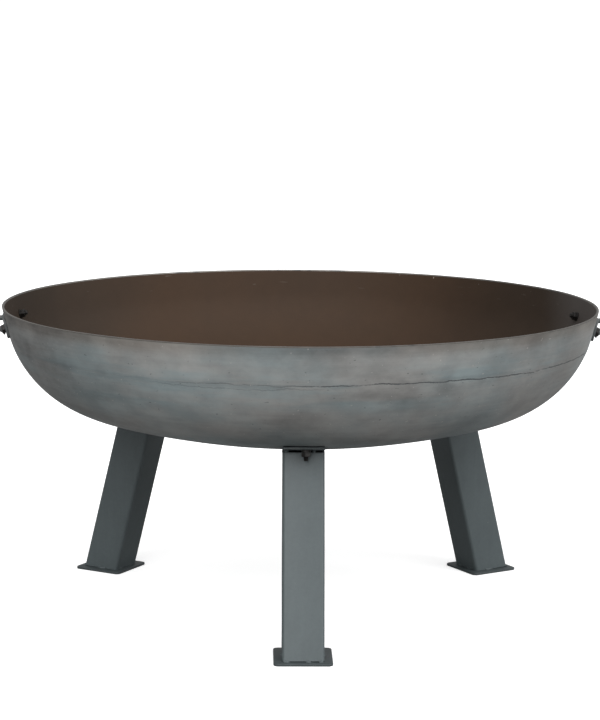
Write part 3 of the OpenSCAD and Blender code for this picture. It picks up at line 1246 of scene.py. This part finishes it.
class FIREBOWL_OT_handle_welds(bpy.types.Operator):
    """Runs a fillet weld round the root of each handle arm"""

    bl_idname = "fire_bowl.handle_welds"
    bl_label = "Handle Welds"

    def execute(self, context):
        handle = sizes("handles")
        height = RIM_HEIGHT - handle.depth - handle.rod_drop
        rod = handle.rod / 2
        # Height above the strip and radius of the fillet
        line = [(0, -1.5), (4.2, -1.5), (4.0, 0.4), (2.6, 1.4), (1.3, 3.0), (0.4, 5.0), (-0.3, 6.4)]
        points = [(0, line[0][1] * MM)] + [(rod + r * MM, z * MM) for r, z in line[1:]]
        fillet = turn_on_lathe("fillet", points + [(0, 6.4 * MM)], 32)
        modify(fillet, "SUBSURF", levels=1, render_levels=1)
        roughen(fillet, "fillet_lumps", 5 * MM, 1.1 * MM)
        smooth(fillet, 80)
        face = wall_radius() + handle.strip
        side = handle.arm_span / 2
        root = math.sqrt(face**2 - side**2)
        finish = weld_paint("handle_weld_paint", sizes("colours").handle_paint)
        for side_name, turn in HANDLE_ANGLES.items():
            made = []
            for arm in (1, -1):
                where = (
                    turned(turn)
                    @ Matrix.Translation((root, arm * side, height))
                    @ Matrix.Rotation(math.pi / 2, 4, "Y")
                    @ turned(70 * arm)
                )
                made.append(copy_to(fillet, "fillet_piece", where))
            take(*made)
            bpy.ops.object.join()
            piece = bpy.context.object
            piece.name = "handle_welds_" + side_name
            hand_over(piece, "handle_paint", [], finish)
        discard(fillet)
        return {"FINISHED"}


# ---------------------------------------------------------------- studio


def soft_light(name, azimuth, height, spread, strength):
    """A wide soft light, from degrees to the right of the front and above the floor."""
    clear_bench()
    bpy.ops.object.light_add(
        type="SUN", rotation=(math.radians(90 - height), 0, math.radians(azimuth))
    )
    light = bpy.context.object
    light.name = name
    light.data.angle = math.radians(spread)
    light.data.energy = strength


def white_room(strength):
    """White all round to look at, and a dimmer even light on the object."""
    world = bpy.data.worlds.new("studio_room")
    world.use_nodes = True
    nodes, links = world.node_tree.nodes, world.node_tree.links
    path = nodes.new("ShaderNodeLightPath")
    level = nodes.new("ShaderNodeMapRange")
    level.inputs["To Min"].default_value = strength
    level.inputs["To Max"].default_value = BACKDROP
    links.new(path.outputs["Is Camera Ray"], level.inputs["Value"])
    links.new(level.outputs[0], nodes["Background"].inputs["Strength"])
    nodes["Background"].inputs["Color"].default_value = (1, 1, 1, 1)
    return world


class FIREBOWL_OT_studio(bpy.types.Operator):
    """Sets up the pale floor, the soft lights and the camera"""

    bl_idname = "fire_bowl.studio"
    bl_label = "Studio"

    def execute(self, context):
        studio = sizes("studio")
        clear_bench()
        bpy.ops.mesh.primitive_circle_add(
            vertices=96, radius=FLOOR_RADIUS, fill_type="NGON", location=(0, 0, -FLOOR_DROP)
        )
        floor = bpy.context.object
        floor.name = "studio_floor"
        floor.data.materials.append(floor_paint())
        context.scene.world = white_room(studio.sky)
        # Each light's direction, height and width in degrees, and its strength
        soft_light("soft_left", -19, 33, 38, studio.left_light)
        soft_light("soft_right", 43, 33, 38, studio.right_light)
        soft_light("soft_side", 97, 24, 40, studio.side_light)
        soft_light("soft_top", 0, 86, 80, studio.top_light)
        clear_bench()
        bpy.ops.object.camera_add()
        camera = bpy.context.object
        camera.name = "studio_camera"
        camera.matrix_world = (
            Matrix.Translation(studio.camera_place)
            @ Matrix.Rotation(-studio.camera_turn, 4, "Z")
            @ Matrix.Rotation(math.pi / 2 - studio.camera_dip, 4, "X")
            @ Matrix.Rotation(studio.camera_roll, 4, "Z")
        )
        camera.data.lens = studio.lens
        camera.data.sensor_width = 36
        camera.data.clip_end = 100
        context.scene.camera = camera
        context.scene.view_settings.view_transform = "Standard"
        return {"FINISHED"}


# ---------------------------------------------------------------- panel and order of work

STEPS = (
    FIREBOWL_OT_studio,
    FIREBOWL_OT_bowl,
    FIREBOWL_OT_leg_tubes,
    FIREBOWL_OT_leg_plates,
    FIREBOWL_OT_handle_strips,
    FIREBOWL_OT_handle_bars,
    FIREBOWL_OT_leg_fixings,
    FIREBOWL_OT_handle_fixings,
    FIREBOWL_OT_leg_welds,
    FIREBOWL_OT_handle_welds,
)


class FIREBOWL_PT_panel(bpy.types.Panel):
    """Lists the sizes and the steps of the fire bowl"""

    bl_label = "Fire Bowl"
    bl_idname = "FIREBOWL_PT_panel"
    bl_space_type = "VIEW_3D"
    bl_region_type = "UI"
    bl_category = "Fire Bowl"

    def draw(self, context):
        for name, group in GROUPS.items():
            box = self.layout.box()
            for size in group.__annotations__:
                box.prop(getattr(context.scene, name), size)
        for step in STEPS:
            self.layout.operator(step.bl_idname)


def register():
    for name, group in GROUPS.items():
        bpy.utils.register_class(group)
        setattr(bpy.types.Scene, name, PointerProperty(type=group))
    for step in STEPS + (FIREBOWL_PT_panel,):
        bpy.utils.register_class(step)


def unregister():
    for step in (FIREBOWL_PT_panel,) + STEPS[::-1]:
        bpy.utils.unregister_class(step)
    for name, group in GROUPS.items():
        delattr(bpy.types.Scene, name)
        bpy.utils.unregister_class(group)


def main():
    register()
    for step in STEPS:
        family, name = step.bl_idname.split(".")
        getattr(getattr(bpy.ops, family), name)()


if __name__ == "__main__":
    main()
